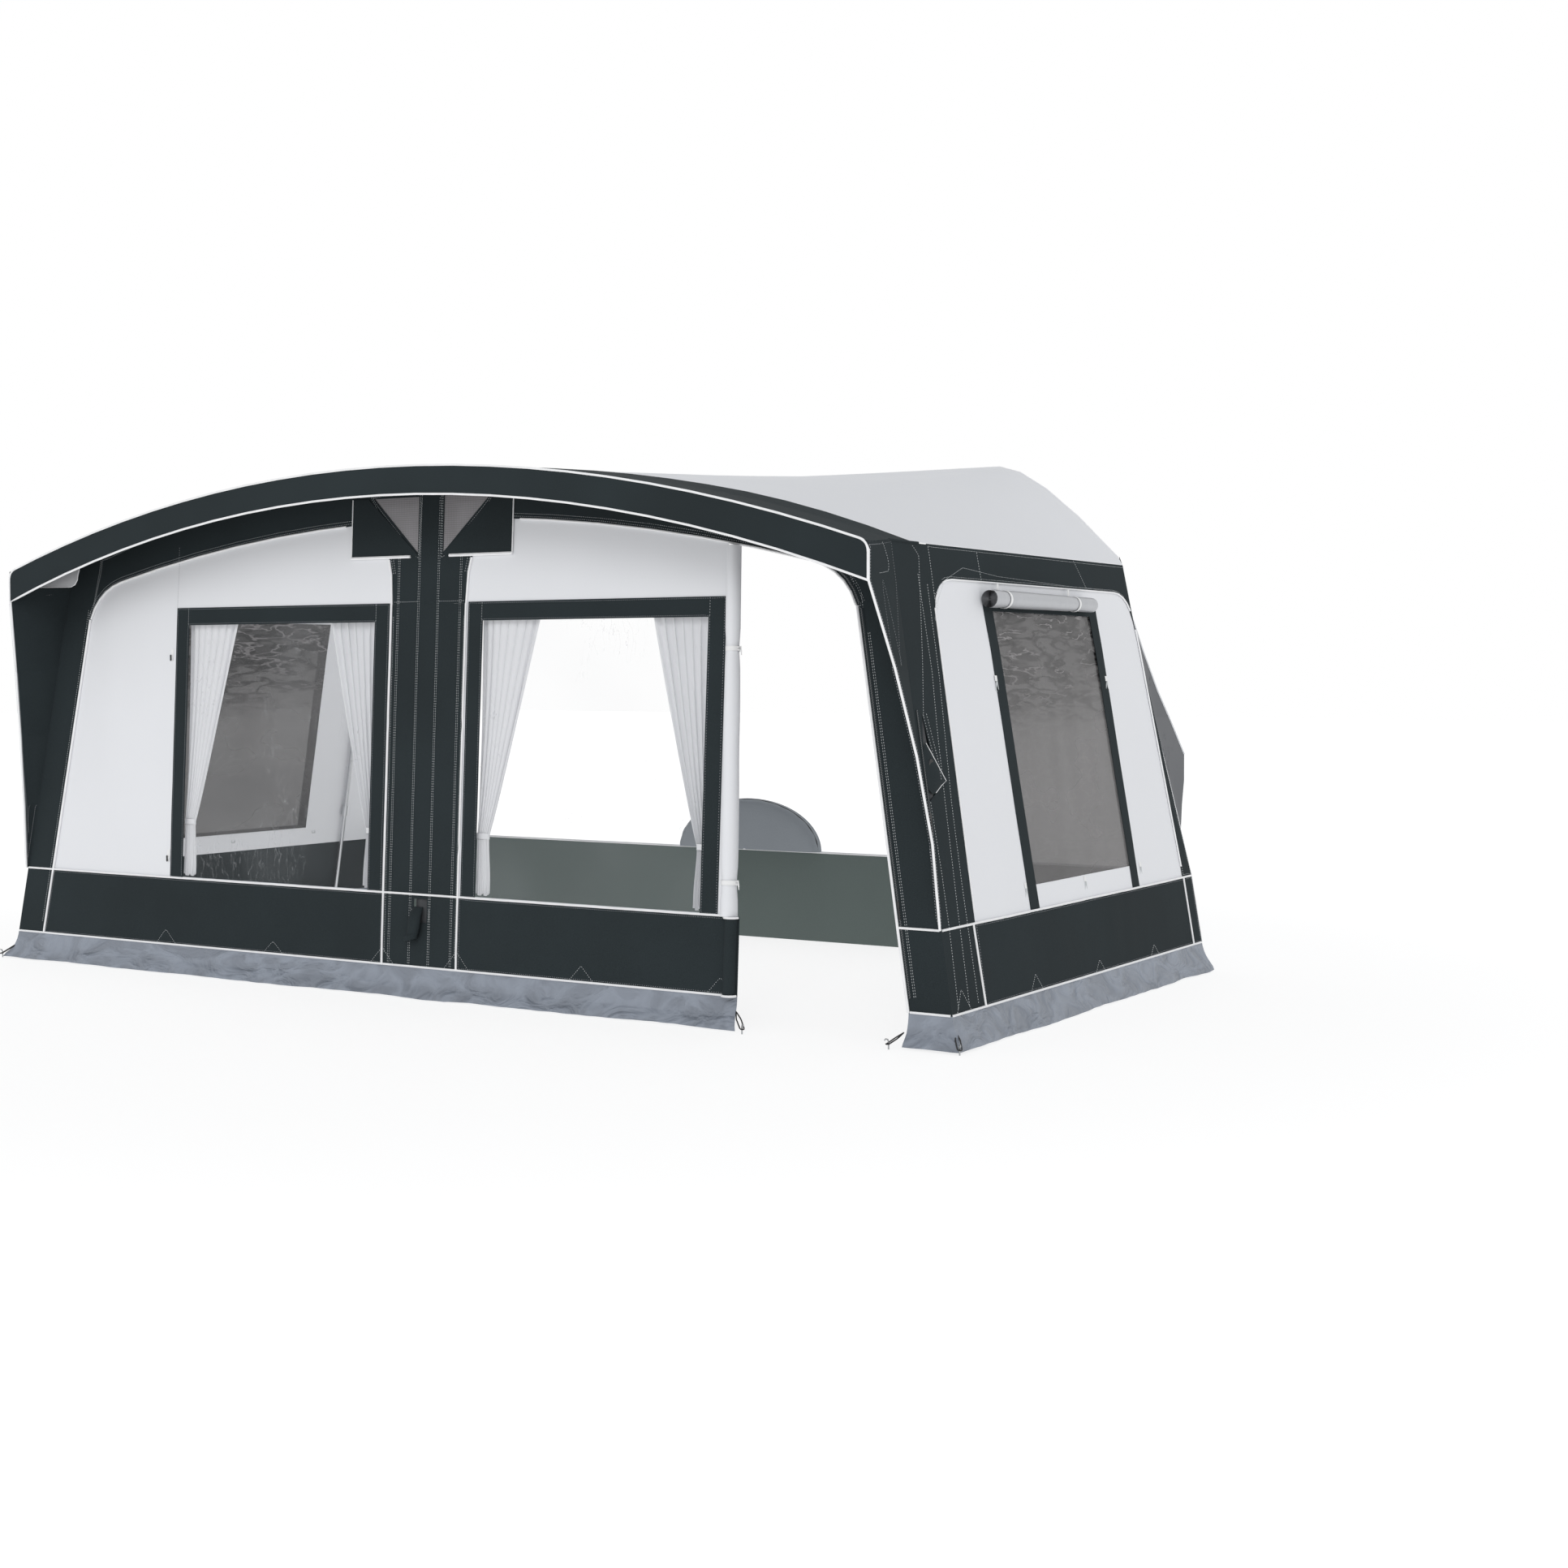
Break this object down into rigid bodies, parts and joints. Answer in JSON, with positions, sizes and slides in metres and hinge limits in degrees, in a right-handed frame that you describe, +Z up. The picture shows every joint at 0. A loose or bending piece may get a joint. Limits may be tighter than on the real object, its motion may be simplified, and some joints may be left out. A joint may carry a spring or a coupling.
{
  "type": "caravan awning",
  "caption": "Full caravan awning on inflated beams, with arched roof and canopy, windowed front and side walls, open doorway, roof vents, mud flaps, curtains and draught skirt.",
  "frame": {"origin": "on the ground, in the middle of the awning's length and depth", "axes": "+X along the caravan, to the right seen from outside; +Y from the canopy's front edge to the caravan; +Z up"},
  "size_m": [5.5436, 3, 2.5773],
  "materials": {
    "anthracite_cloth": "woven coated polyester, matt",
    "light_grey_cloth": "woven coated polyester, satin",
    "mud_flap_pvc": "coated cloth, satin, creased",
    "window_film": "clear flexible film",
    "tinted_film": "tinted flexible film, wrinkled",
    "vent_mesh": "fine open mesh",
    "skirt_cloth": "coated cloth, matt",
    "wheel_arch_cloth": "coated cloth, satin",
    "curtain_voile": "thin white voile, pleated",
    "white_plastic": "matt",
    "beam_sleeve": "tight woven sleeve",
    "black_plastic": "moulded, satin",
    "blind_foil": "rolled clear film, silvery",
    "pole_alloy": "satin drawn tube"
  },
  "bodies": {
    "awning": {"roof_panel": "light_grey_cloth", "roof_front_band": "anthracite_cloth", "canopy_fascia": "anthracite_cloth", "wing_left": "anthracite_cloth", "wing_right": "anthracite_cloth", "front_arch_sleeve": "anthracite_cloth", "corner_sleeve_left": "anthracite_cloth", "corner_sleeve_right": "anthracite_cloth", "centre_column_sleeve": "anthracite_cloth", "inflation_sleeve": "beam_sleeve", "front_panel_left": "light_grey_cloth", "front_panel_right": "light_grey_cloth", "front_lower_left": "anthracite_cloth", "front_lower_right": "anthracite_cloth", "window_frame_left": "anthracite_cloth", "window_frame_right": "anthracite_cloth", "window_film_left": "window_film", "window_film_right": "window_film", "vent_mesh_left": "vent_mesh", "vent_mesh_right": "vent_mesh", "door_roll": "light_grey_cloth", "side_frame_left": "anthracite_cloth", "side_frame_right": "anthracite_cloth", "side_panel_left": "light_grey_cloth", "side_panel_right": "light_grey_cloth", "side_window_strips_left": "anthracite_cloth", "side_window_strips_right": "anthracite_cloth", "side_window_film_left": "tinted_film", "side_window_film_right": "tinted_film", "side_lower_left": "anthracite_cloth", "side_lower_right": "anthracite_cloth", "side_blind_left": "blind_foil", "side_blind_right": "blind_foil", "mud_flap_front": "mud_flap_pvc", "mud_flap_side_left": "mud_flap_pvc", "mud_flap_side_right": "mud_flap_pvc", "front_arch_beam": "beam_sleeve", "centre_leg_beam": "beam_sleeve", "roof_beam_centre": "beam_sleeve", "eaves_beam_left": "beam_sleeve", "eaves_beam_right": "beam_sleeve", "keder_bead": "white_plastic", "draught_skirt": "skirt_cloth", "wheel_arch_cover": "wheel_arch_cloth", "rear_upright_left": "pole_alloy", "rear_upright_right": "pole_alloy", "curtain_track_left": "white_plastic", "curtain_track_right": "white_plastic", "curtain_left_outer": "curtain_voile", "curtain_left_inner": "curtain_voile", "curtain_right_outer": "curtain_voile", "curtain_right_inner": "curtain_voile", "valve_body": "black_plastic"},
    "vent_flap_left": {"vent_flap_left": "anthracite_cloth"},
    "vent_flap_right": {"vent_flap_right": "anthracite_cloth"},
    "door_zip": {"door_zip_slider": "black_plastic"},
    "slit_zip": {"slit_zip_slider": "black_plastic"},
    "valve_cap": {"valve_cap": "black_plastic"},
    "rear_foot_left": {"rear_foot_left": "pole_alloy"},
    "rear_foot_right": {"rear_foot_right": "pole_alloy"}
  },
  "joints": [
    {"name": "vent_flap_left_swing", "type": "hinge", "parent": "awning", "child": "vent_flap_left", "pos_m": [-0.43, -1.15338, 2.305], "axis": [-1, 0, 0], "range_deg": [0, 35]},
    {"name": "vent_flap_right_swing", "type": "hinge", "parent": "awning", "child": "vent_flap_right", "pos_m": [0.43, -1.15338, 2.305], "axis": [-1, 0, 0], "range_deg": [0, 35]},
    {"name": "door_zip_run", "type": "slide", "parent": "awning", "child": "door_zip", "axis": [-0.1743, 0.0551, 0.9832], "range_m": [0, 1.1]},
    {"name": "slit_zip_run", "type": "slide", "parent": "awning", "child": "slit_zip", "axis": [-0.1743, 0.0551, 0.9832], "range_m": [0, 0.4]},
    {"name": "valve_cap_swing", "type": "hinge", "parent": "awning", "child": "valve_cap", "pos_m": [2.57582, -1.13906, 1.149], "axis": [0, -1, 0], "range_deg": [0, 110]},
    {"name": "rear_foot_left_slide", "type": "slide", "parent": "awning", "child": "rear_foot_left", "axis": [0.1745, 0, 0.9847], "range_m": [0, 0.25]},
    {"name": "rear_foot_right_slide", "type": "slide", "parent": "awning", "child": "rear_foot_right", "axis": [-0.1745, 0, 0.9847], "range_m": [0, 0.25]}
  ]
}
